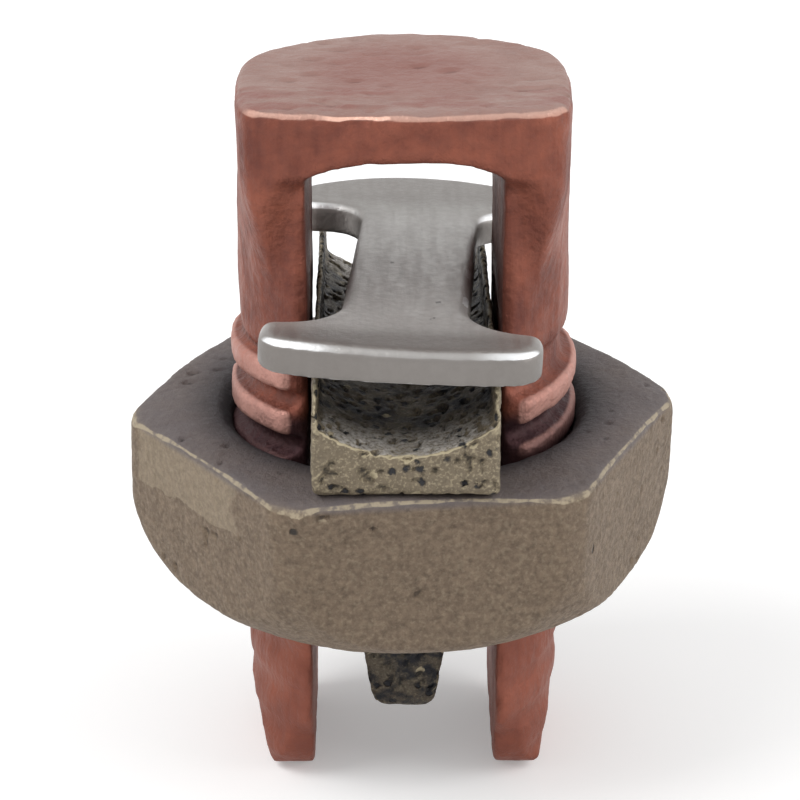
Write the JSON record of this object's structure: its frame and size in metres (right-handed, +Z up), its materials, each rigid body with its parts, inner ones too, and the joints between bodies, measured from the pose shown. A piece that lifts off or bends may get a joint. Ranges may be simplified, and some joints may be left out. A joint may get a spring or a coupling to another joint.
{
  "type": "split bolt connector",
  "caption": "Split bolt cable connector: a slotted bolt holds a run and a tap conductor apart on a spacer plate and a hex nut presses them together with a stemmed bar.",
  "frame": {"origin": "on the bolt's axis, level with the flat ends of its two legs, so the part stands on z = 0", "axes": "+Z up the bolt's axis to its head, +X across the slot from leg to leg, Y along the conductors with -Y at the front"},
  "size_m": [0.0354, 0.0332, 0.0466],
  "materials": {
    "copper": "dull tarnished copper alloy, bright where worn",
    "nut_bronze": "rough cast bronze, darkened, with worn upper edges",
    "bar_brass": "rough cast brass, dark in its hollows",
    "tinned": "satin tin plating"
  },
  "bodies": {
    "bolt": {"split_bolt": "copper"},
    "bar": {"pressure_bar": "bar_brass"},
    "nut": {"clamp_nut": "nut_bronze"},
    "plate": {"spacer_plate": "tinned"}
  },
  "joints": [
    {"name": "bar_slide", "type": "slide", "parent": "bolt", "child": "bar", "axis": [0, 0, 1], "range_m": [-0.013, 0.0012]},
    {"name": "nut_turn", "type": "hinge", "parent": "bar", "child": "nut", "pos_m": [0, 0, 0], "axis": [0, 0, 1], "range_deg": [-1565, 150]},
    {"name": "plate_lift", "type": "slide", "parent": "bar", "child": "plate", "axis": [0, 0, 1], "range_m": [0, 0.0057]}
  ],
  "couplings": [
    {"joint": "nut_turn", "follows": "bar_slide", "rad_per_m": 2094.4}
  ]
}
